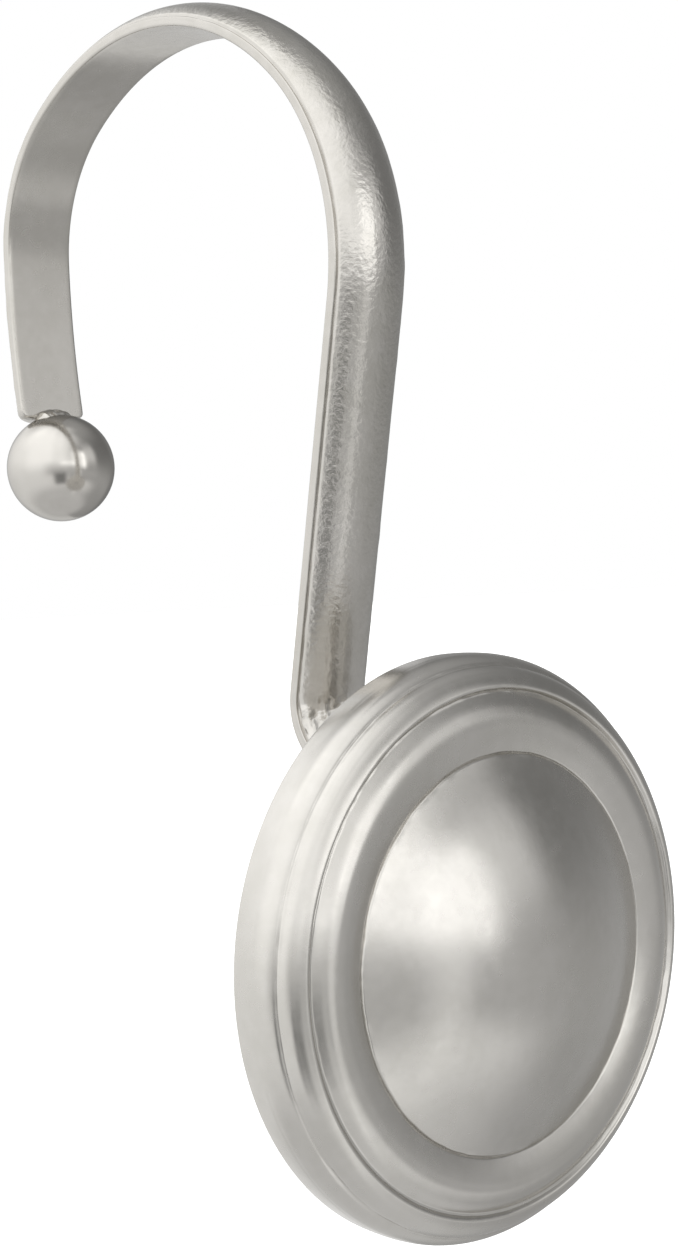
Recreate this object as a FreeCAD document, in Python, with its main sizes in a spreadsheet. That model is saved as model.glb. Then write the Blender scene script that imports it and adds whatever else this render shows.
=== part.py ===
import FreeCAD, Part
import math
import os
import Sketcher

# Hook for a curtain on a rail: a D-section metal band bent over the rail, a ball
# at its free end, and a round turned-profile medallion in front of its foot.
# Millimetres. The origin is the highest point of the band's inner face, where
# the rail bears; X runs along the rail, -Y is the medallion's front, +Z is up.

V = FreeCAD.Vector
ROT = FreeCAD.Rotation

doc = FreeCAD.newDocument("curtain_hook")

# ---------------------------------------------------------------- dimensions
sheet = doc.addObject("Spreadsheet::Sheet", "dims")
DIMS = [
    # the band's D section: flat inside, low side walls, crowned outside
    ("band_width", 5.36), ("band_side", 0.96), ("band_crown", 2.03),
    ("band_edge", 0.16),
    # the line of the flat face, from the crown of the loop to each end
    ("loop_radius", 19.90),
    ("loop_front_sweep", 45.4), ("front_radius", 15.28), ("front_sweep", 57.0),
    ("front_run", 24.00),
    ("foot_radius", 4.30), ("foot_sweep", 102.4),
    ("loop_back_sweep", 34.5), ("back_radius", 11.02), ("back_sweep", 54.3),
    ("tail_radius", 63.40), ("tail_sweep", 10.45),
    ("tail_corner", 0.45),
    # the ball
    ("ball_radius", 3.93), ("ball_setback", 14.71), ("ball_drop", 27.63),
    # the filler at the ball: half sizes of the bead and where it sits
    ("bead_across", 1.80), ("bead_deep", 1.25), ("bead_tall", 1.05),
    ("bead_setback", 14.95), ("bead_drop", 24.25),
    # the medallion, measured from the middle of its flat back
    ("med_back", 23.98), ("med_drop", 58.37),
    ("rim_back_radius", 16.95), ("rim_edge", 0.25),
    ("rim_crest_radius", 16.97), ("rim_crest_rise", 1.60),
    ("groove_radius", 16.28), ("groove_rise", 2.83),
    ("step_radius", 15.92), ("step_rise", 3.48), ("step_top_radius", 15.20),
    ("step_top_rise", 4.02),
    ("crease_radius", 14.86), ("crease_rise", 3.61),
    ("ring_radius", 13.80), ("ring_rise", 4.30),
    ("land_radius", 13.05), ("land_rise", 4.41),
    ("dome_edge_radius", 11.40), ("dome_edge_rise", 4.10),
    ("dome_height", 3.40),
    # the filler round the foot, on the medallion's back
    ("fillet_margin", 1.20), ("fillet_height", 1.10), ("fillet_slope", 38.0),
]
for i, (name, value) in enumerate(DIMS, start=1):
    sheet.set("A%d" % i, name)
    sheet.set("B%d" % i, "%.4f" % value)
    sheet.setAlias("B%d" % i, name)
doc.recompute()
D = dict((name, float(sheet.get(name))) for name, _ in DIMS)


def plane(body, role):
    for feature in body.Origin.OriginFeatures:
        if feature.Role == role:
            return feature
    raise RuntimeError("no plane " + role)


def new_sketch(body, name, role):
    sketch = body.newObject("Sketcher::SketchObject", name)
    sketch.AttachmentSupport = [(plane(body, role), "")]
    sketch.MapMode = "FlatFace"
    return sketch


def bind(sketch, index, name, formula):
    sketch.renameConstraint(index, name)
    sketch.setExpression("Constraints." + name, formula)


def arc_from(point, heading, radius, sweep):
    """Circle arc that leaves point at heading (degrees) and turns by sweep."""
    side = 1.0 if sweep > 0 else -1.0
    h = math.radians(heading)
    centre = V(point.x - side * radius * math.sin(h), point.y + side * radius * math.cos(h), 0)
    a0 = math.atan2(point.y - centre.y, point.x - centre.x)
    a1 = a0 + math.radians(sweep)
    end = V(centre.x + radius * math.cos(a1), centre.y + radius * math.sin(a1), 0)
    circle = Part.Circle(centre, V(0, 0, 1), radius)
    if sweep > 0:
        return Part.ArcOfCircle(circle, a0, a1), end, heading + sweep, (1, 2)
    return Part.ArcOfCircle(circle, a1, a0), end, heading + sweep, (2, 1)


# ---------------------------------------------------------------- the band
# Its line is drawn in the YZ plane: the sketch's x is Y and its y is Z.
band = doc.addObject("PartDesign::Body", "hook_band")
band.Label = "hook_band"
line = new_sketch(band, "band_line", "YZ_Plane")

pieces = []  # geometry index, start vertex, end vertex


def add_arc(start, heading, radius, sweep, tag, radius_cell, sweep_cell):
    geo, end, out, (first, last) = arc_from(start, heading, radius, sweep)
    index = line.addGeometry(geo, False)
    bind(line, line.addConstraint(Sketcher.Constraint("Radius", index, radius)),
         tag + "_radius", radius_cell)
    bind(line, line.addConstraint(Sketcher.Constraint("Angle", index, math.radians(abs(sweep)))),
         tag + "_sweep", sweep_cell + " * 1 deg")
    return index, first, last, end, out


# forward from the loop's crown: heading 180 degrees, towards the front
g_lf, lf0, lf1, p, hd = add_arc(V(0, 0, 0), 180.0, D["loop_radius"], D["loop_front_sweep"],
                                "loop_front", "dims.loop_radius", "dims.loop_front_sweep")
g_f, f0, f1, p, hd = add_arc(p, hd, D["front_radius"], D["front_sweep"],
                             "front", "dims.front_radius", "dims.front_sweep")
run_dir = V(math.cos(math.radians(hd)), math.sin(math.radians(hd)), 0)
run_end = p + run_dir * D["front_run"]
g_r = line.addGeometry(Part.LineSegment(p, run_end), False)
bind(line, line.addConstraint(Sketcher.Constraint("Distance", g_r, D["front_run"])),
     "front_run", "dims.front_run")
g_b, b0, b1, p, hd = add_arc(run_end, hd, D["foot_radius"], -D["foot_sweep"],
                             "foot", "dims.foot_radius", "dims.foot_sweep")
foot_z = p.y
g_t = line.addGeometry(Part.LineSegment(p, V(-D["med_back"], p.y, 0)), False)
# back from the loop's crown: heading 0 degrees, so the arcs turn clockwise
g_lb, lb0, lb1, p, hd = add_arc(V(0, 0, 0), 0.0, D["loop_radius"], -D["loop_back_sweep"],
                                "loop_back", "dims.loop_radius", "dims.loop_back_sweep")
g_k, k0, k1, p, hd = add_arc(p, hd, D["back_radius"], -D["back_sweep"],
                             "back", "dims.back_radius", "dims.back_sweep")
g_e, e0, e1, p, hd = add_arc(p, hd, D["tail_radius"], -D["tail_sweep"],
                             "tail", "dims.tail_radius", "dims.tail_sweep")
tail_end, tail_heading = V(p), hd

C = Sketcher.Constraint
# the two halves of the loop's arc meet on the origin and share one centre
line.addConstraint(C("Coincident", g_lf, lf0, -1, 1))
line.addConstraint(C("Coincident", g_lb, lb0, -1, 1))
line.addConstraint(C("PointOnObject", g_lf, 3, -2))
line.addConstraint(C("PointOnObject", g_lb, 3, -2))
line.addConstraint(C("Tangent", g_lf, lf1, g_f, f0))
line.addConstraint(C("Tangent", g_f, f1, g_r, 1))
line.addConstraint(C("Tangent", g_r, 2, g_b, b0))
line.addConstraint(C("Tangent", g_b, b1, g_t, 1))
line.addConstraint(C("Tangent", g_lb, lb1, g_k, k0))
line.addConstraint(C("Tangent", g_k, k1, g_e, e0))
bind(line, line.addConstraint(C("DistanceX", g_t, 2, -1, 1, D["med_back"])),
     "foot_reach", "dims.med_back")
doc.recompute()

# the D section, drawn at the foot's end: x across, y up from the flat face
section = new_sketch(band, "band_section", "XZ_Plane")
section.AttachmentOffset = FreeCAD.Placement(V(0, foot_z, D["med_back"]), ROT())
section.setExpression("AttachmentOffset.Base.z", "dims.med_back")


def foot_height():
    """Height of the foot's flat face, from the finished line."""
    return min(v.Z for v in line.Shape.Vertexes
               if abs(v.Y + D["med_back"]) < 1e-4)


section.AttachmentOffset = FreeCAD.Placement(V(0, foot_height(), D["med_back"]), ROT())
half, side, crown, edge = D["band_width"] / 2, D["band_side"], D["band_crown"], D["band_edge"]
rise = crown - side
crown_r = (half * half + rise * rise) / (2 * rise)
cy = crown - crown_r
a_side = math.asin(half / crown_r)
s1 = section.addGeometry(Part.LineSegment(V(-half + edge, 0, 0), V(half - edge, 0, 0)), False)
s2 = section.addGeometry(Part.ArcOfCircle(Part.Circle(V(half - edge, edge, 0), V(0, 0, 1), edge),
                                          -math.pi / 2, 0), False)
s3 = section.addGeometry(Part.LineSegment(V(half, edge, 0), V(half, side, 0)), False)
s4 = section.addGeometry(Part.ArcOfCircle(Part.Circle(V(0, cy, 0), V(0, 0, 1), crown_r),
                                          math.pi / 2 - a_side, math.pi / 2 + a_side), False)
s5 = section.addGeometry(Part.LineSegment(V(-half, side, 0), V(-half, edge, 0)), False)
s6 = section.addGeometry(Part.ArcOfCircle(Part.Circle(V(-half + edge, edge, 0), V(0, 0, 1), edge),
                                          math.pi, 3 * math.pi / 2), False)
section.addConstraint(C("Horizontal", s1))
section.addConstraint(C("PointOnObject", s1, 1, -1))
section.addConstraint(C("Tangent", s1, 2, s2, 1))
section.addConstraint(C("Tangent", s2, 2, s3, 1))
section.addConstraint(C("Coincident", s3, 2, s4, 1))
section.addConstraint(C("Coincident", s4, 2, s5, 1))
section.addConstraint(C("Tangent", s5, 2, s6, 1))
section.addConstraint(C("Tangent", s6, 2, s1, 1))
section.addConstraint(C("Vertical", s3))
section.addConstraint(C("Vertical", s5))
section.addConstraint(C("PointOnObject", s4, 3, -2))
section.addConstraint(C("Equal", s2, s6))
bind(section, section.addConstraint(C("DistanceX", s5, 1, s3, 2, D["band_width"])),
     "width", "dims.band_width")
bind(section, section.addConstraint(C("DistanceY", -1, 1, s3, 2, side)), "side", "dims.band_side")
bind(section, section.addConstraint(C("Radius", s2, edge)), "edge", "dims.band_edge")
bind(section, section.addConstraint(C("Radius", s4, crown_r)), "crown_arc",
     "((dims.band_width / 2) ^ 2 + (dims.band_crown - dims.band_side) ^ 2)"
     " / (2 * (dims.band_crown - dims.band_side))")
doc.recompute()

sweep = band.newObject("PartDesign::AdditivePipe", "band_sweep")
sweep.Profile = section
sweep.Spine = (line, [])
band.Tip = sweep
doc.recompute()


# the free end is cut square and its two corners are broken
def tail_edges(shape):
    found = []
    t = V(0, math.cos(math.radians(tail_heading)), math.sin(math.radians(tail_heading)))
    base = V(0, tail_end.x, tail_end.y)
    for number, e in enumerate(shape.Edges, start=1):
        mid = e.valueAt((e.FirstParameter + e.LastParameter) / 2)
        on_end = all(abs((v.Point - base).dot(t)) < 1e-3 for v in e.Vertexes)
        if on_end and abs(abs(mid.x) - half) < 1e-3:
            found.append("Edge%d" % number)
    return found


corner_names = tail_edges(sweep.Shape)
corners = band.newObject("PartDesign::Fillet", "tail_corners")
corners.Base = (sweep, corner_names)
corners.Radius = D["tail_corner"]
corners.setExpression("Radius", "dims.tail_corner")
band.Tip = corners
doc.recompute()

# ---------------------------------------------------------------- the ball
sphere = doc.addObject("Part::Sphere", "ball_blank")
sphere.setExpression("Radius", "dims.ball_radius")
sphere.setExpression("Placement.Base.y", "dims.ball_setback")
sphere.setExpression("Placement.Base.z", "-dims.ball_drop")
ball = doc.addObject("Part::Cut", "ball_tip")
ball.Label = "ball_tip"
ball.Base = sphere
ball.Tool = band
doc.recompute()

# the filler that holds the ball: a bead lapped up the band's inner face
bead = doc.addObject("Part::Ellipsoid", "bead_blank")
bead.setExpression("Radius1", "dims.bead_tall")
bead.setExpression("Radius2", "dims.bead_across")
bead.setExpression("Radius3", "dims.bead_deep")
bead.setExpression("Placement.Base.y", "dims.bead_setback")
bead.setExpression("Placement.Base.z", "-dims.bead_drop")
bead_less_band = doc.addObject("Part::Cut", "bead_less_band")
bead_less_band.Base = bead
bead_less_band.Tool = band
ball_weld = doc.addObject("Part::Cut", "ball_weld")
ball_weld.Label = "ball_weld"
ball_weld.Base = bead_less_band
ball_weld.Tool = sphere
doc.recompute()

# ---------------------------------------------------------------- medallion
# Half of its section in the YZ plane, from the flat back at x = 0 forward to
# negative x; y is the radius. It is turned about the sketch's horizontal axis.
med = doc.addObject("PartDesign::Body", "medallion")
med.Label = "medallion"
half_section = new_sketch(med, "medallion_section", "YZ_Plane")


def at(rise_name, radius_name):
    return V(-D[rise_name], D[radius_name], 0)


def three(a, m, b):
    return Part.Arc(a, m, b)


dome_r = D["dome_edge_radius"]
dome_h = D["dome_height"]
dome_R = (dome_r ** 2 + dome_h ** 2) / (2 * dome_h)
dome_top = -(D["dome_edge_rise"] + dome_h)
e_ = D["rim_edge"]
pts = {
    "back": V(0, D["rim_back_radius"] - e_, 0),
    "edge": V(-e_, D["rim_back_radius"], 0),
    "crest": at("rim_crest_rise", "rim_crest_radius"),
    "groove": at("groove_rise", "groove_radius"),
    "step": at("step_rise", "step_radius"),
    "step_top": at("step_top_rise", "step_top_radius"),
    "crease": at("crease_rise", "crease_radius"),
    "ring": at("ring_rise", "ring_radius"),
    "land": at("land_rise", "land_radius"),
    "dome_edge": at("dome_edge_rise", "dome_edge_radius"),
    "top": V(dome_top, 0, 0),
}


def bulge(a, b, amount):
    """Point beside the middle of a-b; positive bows away from the axis side."""
    mid = (a + b) * 0.5
    d = (b - a)
    n = V(-d.y, d.x, 0)
    n.normalize()
    return mid + n * amount


def dome_point(radius):
    return V(dome_top + dome_R - math.sqrt(dome_R ** 2 - radius ** 2), radius, 0)


g = []
g.append(Part.LineSegment(V(0, 0, 0), pts["back"]))
g.append(Part.LineSegment(pts["back"], pts["edge"]))
g.append(three(pts["edge"], bulge(pts["edge"], pts["crest"], -0.03), pts["crest"]))
g.append(three(pts["crest"], bulge(pts["crest"], pts["groove"], -0.14), pts["groove"]))
g.append(Part.LineSegment(pts["groove"], pts["step"]))
g.append(three(pts["step"], bulge(pts["step"], pts["step_top"], -0.09), pts["step_top"]))
g.append(Part.LineSegment(pts["step_top"], pts["crease"]))
g.append(three(pts["crease"], bulge(pts["crease"], pts["ring"], -0.16), pts["ring"]))
g.append(Part.LineSegment(pts["ring"], pts["land"]))
g.append(Part.LineSegment(pts["land"], pts["dome_edge"]))
g.append(three(pts["dome_edge"], dome_point(dome_r * 0.5), pts["top"]))
g.append(Part.LineSegment(pts["top"], V(0, 0, 0)))
idx = [half_section.addGeometry(item, False) for item in g]
order = ["origin", "back", "edge", "crest", "groove", "step", "step_top", "crease",
         "ring", "land", "dome_edge", "top"]
xcell = {"back": None, "edge": "dims.rim_edge", "crest": "dims.rim_crest_rise",
         "groove": "dims.groove_rise", "step": "dims.step_rise",
         "step_top": "dims.step_top_rise", "crease": "dims.crease_rise",
         "ring": "dims.ring_rise", "land": "dims.land_rise",
         "dome_edge": "dims.dome_edge_rise",
         "top": "dims.dome_edge_rise + dims.dome_height"}
ycell = {"back": "dims.rim_back_radius - dims.rim_edge", "edge": "dims.rim_back_radius",
         "crest": "dims.rim_crest_radius", "groove": "dims.groove_radius",
         "step": "dims.step_radius", "step_top": "dims.step_top_radius",
         "crease": "dims.crease_radius", "ring": "dims.ring_radius",
         "land": "dims.land_radius", "dome_edge": "dims.dome_edge_radius", "top": None}


def ends(k):
    """Vertex numbers of piece k at its start and its end, in drawing order."""
    geo = half_section.Geometry[idx[k]]
    want = V(0, 0, 0) if k == 0 else pts[order[k]]
    if isinstance(geo, Part.LineSegment):
        return 1, 2
    start = geo.StartPoint
    return (1, 2) if (start - want).Length < 1e-6 else (2, 1)


count = len(idx)
vertices = [ends(k) for k in range(count)]
for k in range(count):
    nxt = (k + 1) % count
    a = vertices[k][1]
    b = vertices[nxt][0]
    half_section.addConstraint(C("Coincident", idx[k], a, idx[nxt], b))
half_section.addConstraint(C("Coincident", idx[0], 1, -1, 1))
half_section.addConstraint(C("Vertical", idx[0]))
half_section.addConstraint(C("Horizontal", idx[-1]))
for k in range(1, count):
    name = order[k]
    v = vertices[k][0]
    if xcell[name]:
        bind(half_section, half_section.addConstraint(
            C("DistanceX", idx[k], v, -1, 1, -pts[name].x)), name + "_x", xcell[name])
    if ycell[name]:
        bind(half_section, half_section.addConstraint(
            C("DistanceY", -1, 1, idx[k], v, pts[name].y)), name + "_y", ycell[name])
for k, item in enumerate(g):
    if isinstance(half_section.Geometry[idx[k]], Part.ArcOfCircle):
        if k == 10:
            bind(half_section, half_section.addConstraint(C("Radius", idx[k], dome_R)), "dome_arc",
                 "(dims.dome_edge_radius ^ 2 + dims.dome_height ^ 2) / (2 * dims.dome_height)")
        else:
            half_section.addConstraint(C("Radius", idx[k], half_section.Geometry[idx[k]].Radius))
doc.recompute()

turned = med.newObject("PartDesign::Revolution", "medallion_turned")
turned.Profile = half_section
turned.ReferenceAxis = (half_section, ["H_Axis"])
turned.Angle = 360.0
med.Tip = turned
med.setExpression("Placement.Base.y", "-dims.med_back")
med.setExpression("Placement.Base.z", "-dims.med_drop")
doc.recompute()

# ---------------------------------------------------------------- foot filler
# A sloped bead on the medallion's back, all round the band's foot.
collar = doc.addObject("PartDesign::Body", "foot_bead")
collar.Label = "foot_bead"
pad_sketch = new_sketch(collar, "foot_bead_outline", "XZ_Plane")
pad_sketch.AttachmentOffset = FreeCAD.Placement(V(0, foot_height(), D["med_back"]), ROT())
pad_sketch.setExpression("AttachmentOffset.Base.z", "dims.med_back")
m_ = D["fillet_margin"]
w_, lo, hi = half + m_, -m_, crown + m_
c1 = pad_sketch.addGeometry(Part.LineSegment(V(-w_, lo, 0), V(w_, lo, 0)), False)
c2 = pad_sketch.addGeometry(Part.LineSegment(V(w_, lo, 0), V(w_, hi, 0)), False)
c3 = pad_sketch.addGeometry(Part.LineSegment(V(w_, hi, 0), V(-w_, hi, 0)), False)
c4 = pad_sketch.addGeometry(Part.LineSegment(V(-w_, hi, 0), V(-w_, lo, 0)), False)
for a, b in ((c1, c2), (c2, c3), (c3, c4), (c4, c1)):
    pad_sketch.addConstraint(C("Coincident", a, 2, b, 1))
pad_sketch.addConstraint(C("Horizontal", c3))
for a in (c2, c4):
    pad_sketch.addConstraint(C("Vertical", a))
pad_sketch.addConstraint(C("Symmetric", c1, 1, c1, 2, -2))
bind(pad_sketch, pad_sketch.addConstraint(C("Distance", c1, 2 * w_)), "bead_width",
     "dims.band_width + 2 * dims.fillet_margin")
bind(pad_sketch, pad_sketch.addConstraint(C("Distance", c2, hi - lo)), "bead_height",
     "dims.band_crown + 2 * dims.fillet_margin")
bind(pad_sketch, pad_sketch.addConstraint(C("DistanceY", c1, 1, -1, 1, m_)), "bead_low",
     "dims.fillet_margin")
doc.recompute()
bead_pad = collar.newObject("PartDesign::Pad", "foot_bead_pad")
bead_pad.Profile = pad_sketch
bead_pad.Length = D["fillet_height"]
bead_pad.setExpression("Length", "dims.fillet_height")
bead_pad.Reversed = True
bead_pad.TaperAngle = -D["fillet_slope"]
bead_pad.setExpression("TaperAngle", "-dims.fillet_slope * 1 deg")
collar.Tip = bead_pad
doc.recompute()
medallion_weld = doc.addObject("Part::Cut", "medallion_weld")
medallion_weld.Label = "medallion_weld"
medallion_weld.Base = collar
medallion_weld.Tool = band
doc.recompute()

# ---------------------------------------------------------------- check, write
for obj in doc.Objects:
    state = list(getattr(obj, "State", []))
    if "Invalid" in state or "Error" in state:
        raise RuntimeError("%s did not build: %s" % (obj.Name, state))

NODES = [band, ball, ball_weld, med, medallion_weld]
for obj in NODES:
    shape = obj.Shape
    if shape.isNull() or not shape.isValid():
        raise RuntimeError(obj.Label + " has no valid shape")
    if shape.Volume <= 0 or len(shape.Solids) < 1:
        raise RuntimeError(obj.Label + " isn't a solid")

os.makedirs("parts", exist_ok=True)
for obj in NODES:
    obj.Shape.exportStep("parts/%s.step" % obj.Label)
    box = obj.Shape.BoundBox
    print("%-16s solids %d volume %8.2f mm3  x %.2f..%.2f  y %.2f..%.2f  z %.2f..%.2f" % (
        obj.Label, len(obj.Shape.Solids), obj.Shape.Volume,
        box.XMin, box.XMax, box.YMin, box.YMax, box.ZMin, box.ZMax))
print("foot flat face z %.3f, tail end y %.3f z %.3f heading %.2f" % (
    foot_height(), tail_end.x, tail_end.y, tail_heading))
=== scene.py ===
import math

import bpy
import numpy as np
from mathutils import Matrix, Vector


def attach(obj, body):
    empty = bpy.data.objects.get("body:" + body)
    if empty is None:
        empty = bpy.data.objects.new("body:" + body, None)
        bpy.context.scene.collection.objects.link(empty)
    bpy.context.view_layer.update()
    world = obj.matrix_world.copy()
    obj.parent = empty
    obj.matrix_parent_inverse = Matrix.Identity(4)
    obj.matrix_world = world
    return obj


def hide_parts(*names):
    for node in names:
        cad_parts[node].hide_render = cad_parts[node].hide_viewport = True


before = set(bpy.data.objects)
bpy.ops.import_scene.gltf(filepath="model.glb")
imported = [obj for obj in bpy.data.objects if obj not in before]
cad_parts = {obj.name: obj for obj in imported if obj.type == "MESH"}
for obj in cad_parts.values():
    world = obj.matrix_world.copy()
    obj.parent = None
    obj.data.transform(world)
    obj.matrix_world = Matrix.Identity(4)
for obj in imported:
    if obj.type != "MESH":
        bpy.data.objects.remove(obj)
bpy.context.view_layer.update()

scene = bpy.context.scene
RNG = np.random.default_rng(5833)
MM = 0.001

# ------------------------------------------------------------------ camera
cam_data = bpy.data.cameras.new("camera")
cam = bpy.data.objects.new("camera", cam_data)
scene.collection.objects.link(cam)
cam_right = Vector((0.7414746203773016, -0.6691116911200724, -0.05004929712566872))
cam_up = Vector((0.05811265402776483, -0.010271846236070997, 0.9982571856073724))
cam_back = Vector((-0.6684596523188112, -0.7430908652253366, 0.03126754292352865))
cam.matrix_world = Matrix((
    (cam_right.x, cam_up.x, cam_back.x, -0.07721387329677252),
    (cam_right.y, cam_up.y, cam_back.y, -0.10086101643315524),
    (cam_right.z, cam_up.z, cam_back.z, -0.035819765950196214),
    (0, 0, 0, 1),
))
cam_data.sensor_fit = "AUTO"
cam_data.sensor_width = 36.0
cam_data.lens = 53.816
cam_data.clip_start = 0.01
cam_data.clip_end = 20.0
scene.camera = cam
scene.view_settings.view_transform = "Standard"
scene.view_settings.look = "None"


# ------------------------------------------------------------------ noise
def smooth_noise(points, scale, seed, octaves=3):
    """Value noise at points (n, 3), in about -1..1, with features of size scale."""
    table = np.random.default_rng(seed).random(4096) * 2 - 1
    total = np.zeros(len(points))
    amp, norm = 1.0, 0.0
    for octave in range(octaves):
        p = points / (scale / 2 ** octave) + 31.7 * octave + 100.0
        i = np.floor(p).astype(np.int64)
        f = p - i
        f = f * f * (3 - 2 * f)
        value = np.zeros(len(points))
        for corner in range(8):
            dx, dy, dz = corner & 1, (corner >> 1) & 1, (corner >> 2) & 1
            key = ((i[:, 0] + dx) * 73856093 ^ (i[:, 1] + dy) * 19349663
                   ^ (i[:, 2] + dz) * 83492791) & 4095
            w = ((f[:, 0] if dx else 1 - f[:, 0]) * (f[:, 1] if dy else 1 - f[:, 1])
                 * (f[:, 2] if dz else 1 - f[:, 2]))
            value += table[key] * w
        total += amp * value
        norm += amp
        amp *= 0.5
    return total / norm


def add_mesh(name, verts, faces, material, smooth=True, sharp_deg=None):
    mesh = bpy.data.meshes.new(name)
    mesh.from_pydata([tuple(v) for v in np.asarray(verts) * MM], [],
                     [tuple(int(i) for i in f) for f in faces])
    mesh.validate()
    mesh.update()
    for poly in mesh.polygons:
        poly.use_smooth = smooth
    if sharp_deg:
        mesh.set_sharp_from_angle(angle=math.radians(sharp_deg))
    ob = bpy.data.objects.new(name, mesh)
    scene.collection.objects.link(ob)
    mesh.materials.append(material)
    return ob


def grid_faces(rows, cols, wrap_rows=False, wrap_cols=False):
    out = []
    for r in range(rows if wrap_rows else rows - 1):
        for c in range(cols if wrap_cols else cols - 1):
            a = r * cols + c
            b = r * cols + (c + 1) % cols
            d = ((r + 1) % rows) * cols + c
            e = ((r + 1) % rows) * cols + (c + 1) % cols
            out.append((a, b, e, d))
    return out


# ------------------------------------------------------------------ materials
class Tree:
    """Small helper that adds and links nodes."""

    def __init__(self, tree):
        self.t = tree

    def node(self, kind, **values):
        n = self.t.nodes.new(kind)
        for key, value in values.items():
            setattr(n, key, value)
        return n

    def link(self, a, b):
        self.t.links.new(a, b)

    def math(self, op, a, b=None, clamp=False):
        n = self.node("ShaderNodeMath", operation=op, use_clamp=clamp)
        for i, v in enumerate((a, b)):
            if v is None:
                continue
            if isinstance(v, (int, float)):
                n.inputs[i].default_value = v
            else:
                self.link(v, n.inputs[i])
        return n.outputs[0]

    def ramp(self, value, lo, hi, out_lo, out_hi, smooth=True):
        n = self.node("ShaderNodeMapRange", interpolation_type="SMOOTHSTEP" if smooth else "LINEAR")
        n.clamp = True
        self.link(value, n.inputs["Value"])
        for key, v in (("From Min", lo), ("From Max", hi), ("To Min", out_lo), ("To Max", out_hi)):
            n.inputs[key].default_value = v
        return n.outputs["Result"]

    def noise(self, vector, scale, detail=4.0, rough=0.55, distortion=0.0):
        n = self.node("ShaderNodeTexNoise")
        if vector is not None:
            self.link(vector, n.inputs["Vector"])
        n.inputs["Scale"].default_value = scale
        n.inputs["Detail"].default_value = detail
        n.inputs["Roughness"].default_value = rough
        n.inputs["Distortion"].default_value = distortion
        return n.outputs["Fac"]


def nickel(name, base, rough, peel, peel_scale, grain, dirt=0.12, spread=0.045):
    """Satin nickel plate: slightly uneven tone, cloudy roughness, fine grain and orange peel."""
    mat = bpy.data.materials.new(name)
    mat.use_nodes = True
    k = Tree(mat.node_tree)
    shader = mat.node_tree.nodes["Principled BSDF"]
    shader.inputs["Metallic"].default_value = 1.0
    shader.inputs["Specular IOR Level"].default_value = 0.5
    coords = k.node("ShaderNodeTexCoord").outputs["Object"]
    # tone: a faint warm and cool drift, and specks
    cloud = k.noise(coords, 95.0, 3.0, 0.5)
    spots = k.noise(coords, 900.0, 2.0, 0.6)
    tone = k.node("ShaderNodeMix", data_type="RGBA")
    tone.inputs["A"].default_value = (base[0] * (1 - dirt), base[1] * (1 - dirt),
                                      base[2] * (1 - dirt * 1.15), 1)
    tone.inputs["B"].default_value = (*base, 1)
    mixed = k.math("ADD", k.math("MULTIPLY", cloud, 0.65), k.math("MULTIPLY", spots, 0.35))
    k.link(k.ramp(mixed, 0.33, 0.62, 0.0, 1.0), tone.inputs["Factor"])
    k.link(tone.outputs["Result"], shader.inputs["Base Color"])
    # roughness: cloudy, with finer mottling
    mottled = k.math("ADD", k.math("MULTIPLY", k.noise(coords, 160.0, 4.0, 0.6), 0.6),
                     k.math("MULTIPLY", k.noise(coords, 1500.0, 2.0, 0.5), 0.4))
    k.link(k.ramp(mottled, 0.3, 0.7, rough - spread * 0.8, rough + spread), shader.inputs["Roughness"])
    # relief
    height = k.math("ADD", k.math("MULTIPLY", k.noise(coords, peel_scale, 3.0, 0.5, 0.15), peel),
                    k.math("MULTIPLY", k.noise(coords, 5200.0, 2.0, 0.5), grain))
    bump = k.node("ShaderNodeBump")
    bump.inputs["Strength"].default_value = 1.0
    bump.inputs["Distance"].default_value = 0.001
    k.link(height, bump.inputs["Height"])
    k.link(bump.outputs["Normal"], shader.inputs["Normal"])
    return mat


MAT_BAND = nickel("satin_nickel_band", (0.632, 0.612, 0.580), 0.226, 0.041, 2900.0, 0.0018)
MAT_INNER = nickel("satin_nickel_inner_face", (0.600, 0.580, 0.548), 0.250, 0.006, 900.0, 0.0012,
                   dirt=0.08)
MAT_BALL = nickel("satin_nickel_ball", (0.615, 0.595, 0.563), 0.180, 0.004, 700.0, 0.0006, dirt=0.06)
MAT_BALL.node_tree.nodes["Principled BSDF"].inputs["Specular Tint"].default_value = (0.70, 0.70, 0.70, 1)
MAT_DISC = nickel("satin_nickel_disc", (0.650, 0.632, 0.602), 0.250, 0.006, 620.0, 0.0008, dirt=0.07)
MAT_WELD = nickel("satin_nickel_weld", (0.600, 0.580, 0.548), 0.170, 0.022, 1500.0, 0.0012, dirt=0.25)

# ------------------------------------------------------------------ the band
# the line of its flat face in the YZ plane, in mm, as a list of (y, z, heading in radians)
# from the cut end beside the ball over the loop to the foot; the crown side lies at
# (sin heading, -cos heading)
HALF, SIDE, CROWN = 2.68, 0.96, 2.03


def walk(start, heading, pieces, step):
    y, z = start
    h = math.radians(heading)
    out = [(y, z, h)]
    for kind, a, b in pieces:
        if kind == "arc":
            turn = math.radians(b)
            n = max(2, int(math.ceil(a * abs(turn) / step)))
            side = 1.0 if turn > 0 else -1.0
            cy, cz = y - side * a * math.sin(h), z + side * a * math.cos(h)
            for i in range(1, n + 1):
                hh = h + turn * i / n
                out.append((cy + side * a * math.sin(hh), cz - side * a * math.cos(hh), hh))
            h += turn
        else:
            n = max(2, int(math.ceil(a / step)))
            for i in range(1, n + 1):
                out.append((y + math.cos(h) * a * i / n, z + math.sin(h) * a * i / n, h))
        y, z = out[-1][0], out[-1][1]
    return out


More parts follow.
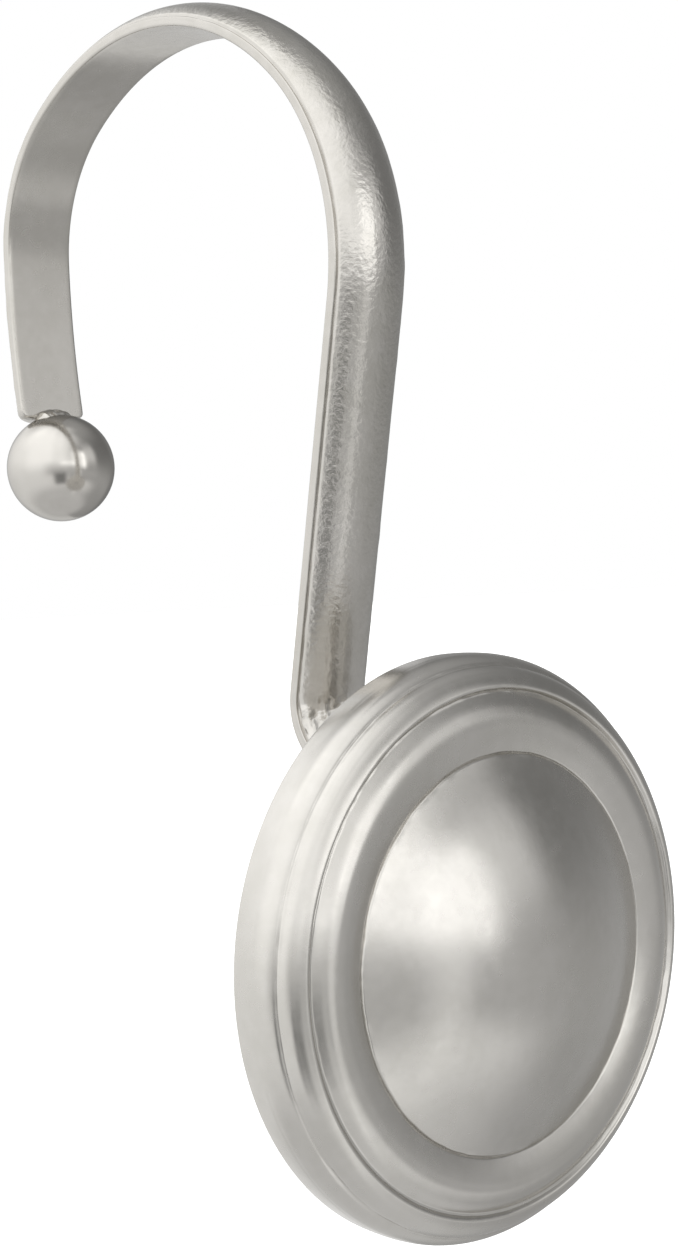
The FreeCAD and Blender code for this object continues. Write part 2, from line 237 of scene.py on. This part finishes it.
STEP, FINE = 0.30, 0.10
front_line = walk((0, 0), 180.0, [("arc", 19.90, 45.4), ("arc", 15.28, 57.0), ("run", 19.5, 0)], STEP)
y1, z1, h1 = front_line[-1]
front_line += walk((y1, z1), math.degrees(h1), [("run", 4.5, 0), ("arc", 4.30, -102.4)], FINE)[1:]
foot_y, foot_z, foot_h = front_line[-1]
front_line += walk((foot_y, foot_z), math.degrees(foot_h), [("run", foot_y + 23.98, 0)], STEP)[1:]
back_line = walk((0, 0), 0.0, [("arc", 19.90, -34.5), ("arc", 11.02, -54.3),
                               ("arc", 63.40, -10.45)], STEP)
line = [(y, z, h + math.pi) for y, z, h in back_line[::-1]] + front_line[1:]
# a few more rows beside the cut end, for its rounded edge
(ya, za, ha), (yb, zb, hb) = line[0], line[1]
first_step = math.hypot(yb - ya, zb - za)
line = ([(ya + (yb - ya) * t, za + (zb - za) * t, ha + (hb - ha) * t)
         for t in (0, 0.02 / first_step, 0.05 / first_step, 0.09 / first_step, 0.14 / first_step)]
        + line[1:])
line = np.array(line)
arc_len = np.concatenate([[0], np.cumsum(np.hypot(np.diff(line[:, 0]), np.diff(line[:, 1])))])


def band_section():
    """Closed outline of the D section: (across, out, part), part 0 inner face, 1 sides, 2 crown."""
    r = 0.16
    pts = [(-HALF + r + (2 * HALF - 2 * r) * i / 16, 0.0, 0) for i in range(16)]
    # right side: a plain wall with a rounded shoulder
    right_w, rs = 1.06, 0.16
    rise = CROWN - right_w
    R2 = (HALF * HALF + rise * rise) / (2 * rise)
    c2 = CROWN - R2
    u0 = HALF - rs
    w0 = c2 + math.sqrt((R2 - rs) ** 2 - u0 ** 2)
    a2 = math.atan2(w0 - c2, u0)
    for i in range(0, 5):
        a = -math.pi / 2 + math.pi / 2 * i / 4
        pts.append((HALF - r + r * math.cos(a), r + r * math.sin(a), 1))
    for i in range(1, 6):
        pts.append((HALF, r + (w0 - r) * i / 5, 1))
    for i in range(1, 6):
        a = a2 * i / 6
        pts.append((u0 + rs * math.cos(a), w0 + rs * math.sin(a), 1))
    n = 30
    for i in range(0, n + 1):
        a = a2 + (math.pi / 2 - a2) * i / n
        pts.append((R2 * math.cos(a), c2 + R2 * math.sin(a), 2))
    # left side: the rolls left a narrow ledge there, then a short riser into the crown
    half_c, low_c = HALF - 0.19, 0.90
    rise = CROWN - low_c
    R1 = (half_c * half_c + rise * rise) / (2 * rise)
    c1 = CROWN - R1
    a1 = math.atan2(low_c - c1, half_c)
    n = 32
    for i in range(1, n + 1):
        a = math.pi / 2 + (math.pi / 2 - a1) * i / n
        pts.append((R1 * math.cos(a), c1 + R1 * math.sin(a), 2))
    pts += [(-HALF + 0.180, 0.830, 1), (-HALF + 0.174, 0.770, 1), (-HALF + 0.170, 0.710, 1),
            (-HALF + 0.158, 0.672, 1), (-HALF + 0.130, 0.668, 1), (-HALF + 0.085, 0.680, 1),
            (-HALF + 0.040, 0.678, 1), (-HALF + 0.012, 0.650, 1)]
    for i in range(4, 0, -1):
        pts.append((-HALF, r + (0.60 - r) * i / 4, 1))
    for i in range(4, 0, -1):
        a = -math.pi / 2 + math.pi / 2 * i / 4
        pts.append((-HALF + r - r * math.cos(a), r + r * math.sin(a), 1))
    return np.array(pts)


sec = band_section()
n_sec, n_line = len(sec), len(line)
# outward normals of the outline
before, after = np.roll(sec[:, :2], 1, axis=0), np.roll(sec[:, :2], -1, axis=0)
tangent = after - before
tangent /= np.hypot(tangent[:, 0], tangent[:, 1])[:, None]
out_n = np.stack([tangent[:, 1], -tangent[:, 0]], -1)
S = np.repeat(arc_len, n_sec)
U = np.tile(sec[:, 0], n_line)
Wd = np.tile(sec[:, 1], n_line)
Nu = np.tile(out_n[:, 0], n_line)
Nw = np.tile(out_n[:, 1], n_line)
part = np.tile(sec[:, 2], n_line)
Y0 = np.repeat(line[:, 0], n_sec)
Z0 = np.repeat(line[:, 1], n_sec)
H0 = np.repeat(line[:, 2], n_sec)


def fade(x, a, b):
    t = np.clip((x - a) / (b - a), 0, 1)
    return t * t * (3 - 2 * t)


# relief: rolled waviness, a nicked shoulder line, and the metal crumpled inside the foot bend
s_bend = float(arc_len[-1] - math.hypot(line[-1, 0] - foot_y, line[-1, 1] - foot_z)
               - 4.30 * math.radians(102.4))
flat = np.stack([U, Wd, S], -1)
relief = np.where(part == 2, 0.010, 0.004) * smooth_noise(flat * [1, 1, 0.45], 1.6, 31, 2)
shoulder = (part == 1) & (Wd > 0.5)
relief += shoulder * 0.030 * smooth_noise(flat * [1, 1, 0.5], 0.55, 32, 2)
zone = fade(S, s_bend - 0.1, s_bend + 1.0) * (1 - fade(S, s_bend + 6.2, s_bend + 7.4))
crumple = smooth_noise(flat * [1, 1, 0.30] + 40.0, 0.42, 33, 2)
crumple2 = smooth_noise(flat * [1, 1, 0.75] + 80.0, 0.95, 34, 2)
relief += (part == 2) * zone * (0.15 * crumple + 0.08 * crumple2 - 0.05)
relief -= (part == 1) * (Wd > 0.3) * zone * 0.035 * (1 + crumple2)
# the cut end: its rim is softened, its two corners are rounded in plan
soft = 0.14
s_in = np.clip(soft - S, 0, soft)
relief -= soft - np.sqrt(np.clip(soft ** 2 - s_in ** 2, 0, None))
U = U + Nu * relief
Wd = Wd + Nw * relief
# the bend drew the crown a little flatter over the top of the loop
Wd = Wd * (1 - 0.10 * fade(S, 14.0, 24.0) * (1 - fade(S, 49.0, 60.0)))
corner = 0.45
inset = np.clip(corner - S, 0, corner)
shrink = corner - np.sqrt(np.clip(corner ** 2 - inset ** 2, 0, None))
U = U * (HALF - shrink) / HALF
verts = np.stack([U, Y0 + np.sin(H0) * Wd, Z0 - np.cos(H0) * Wd], -1)

faces = grid_faces(n_line, n_sec, wrap_cols=True)
faces = [f[::-1] for f in faces]
n_side = len(faces)
first = list(range(n_sec))
last = list(range((n_line - 1) * n_sec, n_line * n_sec))
# end caps as fans round a middle point
verts = list(map(tuple, verts))
for ring, flip in ((first, False), (last, True)):
    mid = np.mean([verts[i] for i in ring], axis=0)
    verts.append(tuple(mid))
    m = len(verts) - 1
    for i in range(n_sec):
        a, b = ring[i], ring[(i + 1) % n_sec]
        faces.append((b, a, m) if flip else (a, b, m))
band = add_mesh("band_bent_strip", np.array(verts), faces, MAT_BAND, sharp_deg=50)
band.data.materials.append(MAT_INNER)
which = np.ones(len(band.data.polygons), dtype=np.int32)
cols = np.arange(n_side) % n_sec
which[:n_side] = np.where((sec[cols, 2] == 2) & (sec[(cols + 1) % n_sec, 2] == 2), 0, 1)
band.data.polygons.foreach_set("material_index", which)
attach(band, "root")
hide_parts("hook_band")

# ------------------------------------------------------------------ the ball
BALL = np.array([0.0, 14.71, -27.63])
BALL_R = 3.93


def uv_ball(centre, radius, rows, cols, axis_tilt=0.0):
    vs, fs = [], []
    for r in range(rows + 1):
        t = math.pi * r / rows
        for c in range(cols):
            p = 2 * math.pi * c / cols
            vs.append((radius * math.sin(t) * math.cos(p), radius * math.sin(t) * math.sin(p),
                       radius * math.cos(t)))
    vs = np.array(vs)
    fs = grid_faces(rows + 1, cols, wrap_cols=True)
    fs = [f[::-1] for f in fs]
    return vs + centre, fs


def ico_ball(radius, divisions):
    import bmesh
    bm = bmesh.new()
    bmesh.ops.create_icosphere(bm, subdivisions=divisions, radius=radius)
    vs = np.array([v.co[:] for v in bm.verts])
    fs = [[v.index for v in f.verts] for f in bm.faces]
    bm.free()
    return vs, fs


bv, bf = ico_ball(1.0, 6)
wob = smooth_noise(bv, 0.55, 11, 2)
ball_v = bv * (BALL_R * (1 - 0.0012 + 0.0010 * wob))[:, None] + BALL
ball = add_mesh("ball", ball_v, bf, MAT_BALL)
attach(ball, "root")
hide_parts("ball_tip")

# ------------------------------------------------------------------ medallion
FACE_Y, MID_Z = -27.83, -58.37      # plane of the dome's edge, height of the middle


def medallion_profile():
    """Rows of (radius, depth behind the dome's edge plane, weight of the crease noise)."""
    pts = []

    def add(*rows):
        for row in rows:
            pts.append((row[0], row[1], row[2] if len(row) > 2 else 0.0))

    def arc(a, b, bulge, n, skip=1):
        a, b = np.array(a), np.array(b)
        mid = (a + b) / 2
        d = b - a
        nrm = np.array([d[1], -d[0]]) / np.hypot(*d)
        m = mid + nrm * bulge
        c = np.hypot(*d) / 2
        R = (c * c + bulge * bulge) / (2 * abs(bulge))
        centre = m - nrm * math.copysign(R, bulge)
        a0 = math.atan2(a[1] - centre[1], a[0] - centre[0])
        a1 = math.atan2(b[1] - centre[1], b[0] - centre[0])
        while a1 - a0 > math.pi:
            a1 -= 2 * math.pi
        while a1 - a0 < -math.pi:
            a1 += 2 * math.pi
        for i in range(skip, n + 1):
            t = a0 + (a1 - a0) * i / n
            yield (centre[0] + R * math.cos(t), centre[1] + R * math.sin(t))

    def slopes(table, r0, h0, r1, n):
        """Points from r0 to r1 on a surface whose slope in degrees is listed by radius."""
        rs = np.linspace(r0, r1, 40 * n + 1)
        t = np.tan(np.radians(np.interp(rs, [p[0] for p in table], [p[1] for p in table])))
        h = h0 + np.concatenate([[0], np.cumsum((t[1:] + t[:-1]) / 2 * np.diff(rs))])
        return [(float(rs[i]), float(h[i])) for i in range(0, 40 * n + 1, 40)]

    for r in (0.001, 4, 8, 12, 15, 16.3, 16.6, 16.70):
        add((r, 3.85))
    add(*arc((16.70, 3.85), (16.95, 3.60), -0.07, 5))
    add(*arc((16.95, 3.60), (16.97, 2.34), -0.02, 8))
    add((16.955, 2.26))                                   # soft ridge round the rim
    add(*arc((16.955, 2.26), (16.48, 1.13), -0.115, 15))
    add((16.42, 1.075), (16.34, 1.03, 0.3), (16.27, 1.0, 0.7), (16.245, 0.975, 1.0),
        (16.225, 0.92, 0.7), (16.205, 0.80, 0.3))
    add(*arc((16.205, 0.80), (15.79, 0.26), -0.045, 12))
    add(*arc((15.79, 0.26), (15.20, -0.115), -0.030, 12))
    add((15.12, -0.145, 0.1), (15.05, -0.150, 0.3), (14.99, -0.125, 0.6), (14.955, -0.07, 0.8),
        (14.93, 0.00, 0.9), (14.905, 0.08, 1.0), (14.88, 0.145, 1.0), (14.86, 0.180, 1.2),
        (14.84, 0.185, 1.5), (14.82, 0.150, 1.8), (14.80, 0.105, 1.8), (14.775, 0.085, 1.0),
        (14.73, 0.075, 0.5))
    flank = slopes([(11.50, -18), (12.0, -16), (12.4, -13.5), (12.8, -10), (12.98, -5),
                    (13.15, 0), (13.3, 4), (13.45, 9), (13.6, 15), (13.75, 18.5),
                    (13.9, 20.5), (14.05, 27), (14.2, 30), (14.35, 34), (14.65, 35)],
                   11.50, 0.0, 14.66, 42)
    drop = 0.035 - flank[-1][1]
    add(*[(r, h + drop) for r, h in flank[::-1][:-1]])
    h_in = flank[0][1] + drop
    add((11.50, h_in, 0.4), (11.475, h_in + 0.055, 1.2), (11.455, h_in + 0.105, 1.4),
        (11.435, h_in + 0.110, 1.4), (11.405, h_in + 0.055, 1.4), (11.365, h_in - 0.020, 1.2),
        (11.33, h_in - 0.065, 0.5))
    dome = slopes([(0, 0), (2, 5.4), (4, 12.1), (6, 18.6), (8, 23.6), (9, 26.6), (9.7, 27.7),
                   (10.3, 27.6), (10.9, 26.2), (11.33, 24.5)], 0.001, 0.0, 11.30, 52)
    drop = h_in - 0.080 - dome[-1][1]
    add(*[(r, h + drop) for r, h in dome[::-1]])
    return np.array(pts)


prof = medallion_profile()
print("medallion rows", len(prof), "dome top", round(float(prof[-1, 1]), 3))
SEG = 540
ang = np.linspace(0, 2 * math.pi, SEG, endpoint=False)
Rr = np.repeat(prof[:, 0], SEG)
Hh = np.repeat(prof[:, 1], SEG)
Ww = np.repeat(prof[:, 2], SEG)
Aa = np.tile(ang, len(prof))
# creases left by the die and the buff are uneven; the flats between them wave a little
around = np.stack([Rr * np.cos(Aa), Hh * 0.6, Rr * np.sin(Aa)], -1)
nick = smooth_noise(around, 0.9, 21, 2)
nick2 = smooth_noise(around + 60.0, 2.6, 22, 2)
Rr = Rr + Ww * (0.022 * nick + 0.018 * nick2)
Hh = Hh + Ww * 0.030 * smooth_noise(around + 30.0, 0.7, 23, 2)
wave = smooth_noise(around + 90.0, 6.0, 24, 2)
Hh = Hh + np.where((Rr > 11.6) & (Rr < 16.2), 0.010, 0.004) * wave * (Hh < 3.0)
# the buff has nearly closed the outer crease, but for a stretch at the top
off = np.abs((np.degrees(Aa) - 100.0 + 180.0) % 360.0 - 180.0)
keep = 0.26 + 0.74 * (1 - fade(off, 35.0, 75.0))
in_crease = (Rr > 14.74) & (Rr < 15.11) & (Hh < 1.0)
chord = np.interp(Rr, [14.74, 15.11], [0.077, -0.145])
Hh = np.where(in_crease, chord + (Hh - chord) * keep, Hh)
# outer steps were cast a little high of the dome's middle
shift = np.clip((Rr - 11.5) / 3.4, 0, 1) * 0.17
mv = np.stack([Rr * np.cos(Aa), FACE_Y + Hh, MID_Z + Rr * np.sin(Aa) + shift], -1)
mf = grid_faces(len(prof), SEG, wrap_cols=True)
disc = add_mesh("medallion_casting", mv, mf, MAT_DISC, sharp_deg=60)
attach(disc, "root")
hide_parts("medallion")

# ------------------------------------------------------------------ the ball's bead
# filler between the ball's top and the strip's end, with a pit where the two runs of it meet
bead_c = np.array([-0.16, 14.95, -24.25])
bead_r = np.array([1.62, 1.25, 0.98])
bv, bf = ico_ball(1.0, 5)
swirl = smooth_noise(bv + 5.0, 0.75, 41, 3)
ripple = 0.018 * np.sin(17.0 * bv[:, 0] + 3.0 * swirl)
pit_dir = np.array([-0.16, -0.42, 0.89])
pit_dir /= np.linalg.norm(pit_dir)
pit = np.exp(-((1 - bv @ pit_dir) / 0.020))
lump = np.exp(-((bv[:, 0] + 0.62) / 0.30) ** 2) * 0.06
bead_v = bv * (0.955 + 0.030 * swirl + ripple - 0.16 * pit + lump * (bv[:, 2] > 0))[:, None]
bead = add_mesh("ball_weld_bead", bead_v * bead_r + bead_c, bf, MAT_WELD)
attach(bead, "root")
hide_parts("ball_weld")

# ------------------------------------------------------------------ the foot's fillet
# a rippled run of filler round the strip's foot, on the medallion's flat back
loop = sec[:, :2]
seg_len = np.hypot(*(np.roll(loop, -1, axis=0) - loop).T)
cum = np.concatenate([[0], np.cumsum(seg_len)])
n_loop = 240
at_s = np.linspace(0, cum[-1], n_loop, endpoint=False)
closed = np.vstack([loop, loop[:1]])
lu, lw = np.interp(at_s, cum, closed[:, 0]), np.interp(at_s, cum, closed[:, 1])
tu, tw = np.roll(lu, -3) - np.roll(lu, 3), np.roll(lw, -3) - np.roll(lw, 3)
tl = np.hypot(tu, tw)
nu, nw = tw / tl, -tu / tl
for _ in range(14):                                       # rounds the corners of the spread
    nu = (np.roll(nu, 1) + 2 * nu + np.roll(nu, -1)) / 4
    nw = (np.roll(nw, 1) + 2 * nw + np.roll(nw, -1)) / 4
nl = np.hypot(nu, nw)
nu, nw = nu / nl, nw / nl
rows = []
n_t = 16
run = np.cumsum(np.hypot(np.diff(lu, append=lu[0]), np.diff(lw, append=lw[0])))
for k in range(n_t + 1):
    t = k / n_t
    height = 1.04 * (1 - t) ** 1.25
    ring_pts = np.stack([lu, lw, np.full(n_loop, t * 1.6)], -1)
    rough_n = smooth_noise(ring_pts + 12.0, 0.8, 51, 3)
    ripples = 0.035 * np.sin(run * 2 * math.pi / 0.62 + 2.4 * t) * math.sin(math.pi * min(t * 1.1, 1))
    spread = 1.12 * t + 0.05 * rough_n * t
    y = -23.98 + np.clip(height + (0.05 * rough_n + ripples) * (0.2 + 0.8 * math.sin(math.pi * t)),
                         -0.02 if k < n_t else -0.02, None) - (0.02 if k == n_t else 0)
    rows.append(np.stack([lu + nu * (spread - 0.05), y, foot_z + lw + nw * (spread - 0.05)], -1))
wv = np.concatenate(rows)
wf = grid_faces(n_t + 1, n_loop, wrap_cols=True)
fillet = add_mesh("foot_weld_fillet", wv, wf, MAT_WELD)
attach(fillet, "root")
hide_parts("medallion_weld")

# ------------------------------------------------------------------ floor
floor_mat = bpy.data.materials.new("pale_floor")
floor_mat.use_nodes = True
kf = Tree(floor_mat.node_tree)
fb = floor_mat.node_tree.nodes["Principled BSDF"]
fb.inputs["Roughness"].default_value = 0.9
fb.inputs["Specular IOR Level"].default_value = 0.1
fb.inputs["Base Color"].default_value = (0.9, 0.9, 0.895, 1)
fb.inputs["Emission Color"].default_value = (1, 1, 1, 1)
fb.inputs["Emission Strength"].default_value = 0.55
n_ring = 96
fl_v = [(0, 0, -160.0)]
for radius in (300, 1500, 6000):
    for i in range(n_ring):
        t = 2 * math.pi * i / n_ring
        fl_v.append((radius * math.cos(t), radius * math.sin(t), -160.0))
fl_f = [(0, 1 + i, 1 + (i + 1) % n_ring) for i in range(n_ring)]
for k in range(2):
    for i in range(n_ring):
        a = 1 + k * n_ring + i
        b = 1 + k * n_ring + (i + 1) % n_ring
        fl_f.append((a, a + n_ring, b + n_ring, b))
floor = add_mesh("floor", np.array(fl_v, float), fl_f, floor_mat, smooth=False)
floor.visible_glossy = False

# ------------------------------------------------------------------ surroundings
# A soft studio: a white wall and a broad white panel on the left, two small lamps to the
# right of the lens, dark cloth high on the right, a pale table, and a grey sweep behind.
# Each is a soft-edged patch of the world, given by azimuth and elevation in degrees; their
# places and strengths were adjusted until the highlights fell as they do on the real finish.
world = bpy.data.worlds.new("studio")
scene.world = world
world.use_nodes = True
wt = Tree(world.node_tree)
wn = world.node_tree.nodes
bg = wn["Background"]
gen = wt.node("ShaderNodeTexCoord").outputs["Generated"]
sep = wt.node("ShaderNodeSeparateXYZ")
wt.link(gen, sep.inputs[0])
DEG = 180 / math.pi
# azimuth from the lens direction, positive to the right
az0 = -41.97
rot_x = wt.math("ADD", wt.math("MULTIPLY", sep.outputs["X"], math.cos(math.radians(az0))),
                wt.math("MULTIPLY", sep.outputs["Y"], math.sin(math.radians(az0))))
rot_y = wt.math("ADD", wt.math("MULTIPLY", sep.outputs["X"], math.sin(math.radians(az0))),
                wt.math("MULTIPLY", sep.outputs["Y"], -math.cos(math.radians(az0))))
yaw = wt.math("MULTIPLY", wt.math("ARCTAN2", rot_x, rot_y), DEG)
elev = wt.math("MULTIPLY", wt.math("ARCSINE", sep.outputs["Z"]), DEG)


def lin(v):
    v = v / 255.0
    return v / 12.92 if v <= 0.04045 else ((v + 0.055) / 1.055) ** 2.4


level = None


def patch(yaw0, yaw1, el0, el1, soft_yaw, soft_el, value, amount=1.0):
    """Lays a soft-edged patch over what is there; value is the tone that nickel shows of it."""
    global level
    strength = lin(value) / 0.60 if value <= 255 else lin(255) / 0.60 * (value / 255.0)
    if level is None:
        level = wt.node("ShaderNodeValue").outputs[0]
        level.default_value = strength
        return
    my = wt.math("MULTIPLY", wt.ramp(yaw, yaw0 - soft_yaw, yaw0 + soft_yaw, 0, 1),
                 wt.ramp(yaw, yaw1 - soft_yaw, yaw1 + soft_yaw, 1, 0))
    me = wt.math("MULTIPLY", wt.ramp(elev, el0 - soft_el, el0 + soft_el, 0, 1),
                 wt.ramp(elev, el1 - soft_el, el1 + soft_el, 1, 0))
    mask = wt.math("MULTIPLY", wt.math("MULTIPLY", my, me), amount)
    mix = wt.node("ShaderNodeMix", data_type="FLOAT")
    wt.link(mask, mix.inputs["Factor"])
    wt.link(level, mix.inputs["A"])
    mix.inputs["B"].default_value = strength
    level = mix.outputs["Result"]


patch(0, 0, 0, 0, 0, 0, 139)                              # the room
patch(-200, 200, -95, -57, 10, 9, 172, 0.94)              # floor below
patch(-200, 88, -50, 3, 26, 23, 269, 0.41)                # pale table at the left
patch(25, 200, -29, 19, 7, 8, 145, 0.97)                  # its dim right side
patch(-161, -10, -2, 89, 8, 22, 248, 0.74)                # white wall at the left
patch(-24, 93, -17, 11, 15, 7, 160, 0.90)                 # edge of the table
patch(45, 200, -2, 46, 8, 18, 54, 0.58)                   # dark cloth, high right
patch(-200, -112, 45, 80, 24, 11, 120, 0.93)              # dark behind, high left
patch(-140, 66, 42, 90, 22, 24, 378, 0.33)                # broad white panel
patch(-200, 120, 76, 95, 25, 15, 232, 0.97)               # ceiling over it
patch(-71, 32, 3, 73, 21, 14, 240, 0.83)                  # the panel's hot middle
patch(62, 90, 4, 36, 7, 12, 194, 0.87)                    # spill at the right
patch(35, 55, 0, 30, 9, 6, 290, 0.93)                     # glow of two small lamps
patch(8, 44, 4, 10, 7, 5, 305, 0.7)                       # left lamp
patch(56, 63, -3, 27, 5, 5, 350, 1.0)                     # right lamp
patch(43, 49, -57, 6, 8, 8, 253, 0.68)                    # their light on the table
patch(-8, 20, -37, -13, 6, 6, 56, 0.8)                   # the camera's stand
patch(-200, -150, -24, 24, 10, 10, 176)                   # grey sweep behind
patch(150, 200, -24, 24, 10, 10, 122)

wt.link(level, bg.inputs["Strength"])
bg.inputs["Color"].default_value = (1.0, 1.0, 0.995, 1)
sweep = wt.node("ShaderNodeBackground")
sweep.inputs["Color"].default_value = (1, 1, 1, 1)
sweep.inputs["Strength"].default_value = 1.0
path = wt.node("ShaderNodeLightPath")
pick = wt.node("ShaderNodeMixShader")
wt.link(path.outputs["Is Camera Ray"], pick.inputs[0])
wt.link(bg.outputs[0], pick.inputs[1])
wt.link(sweep.outputs[0], pick.inputs[2])
wt.link(pick.outputs[0], wn["World Output"].inputs["Surface"])
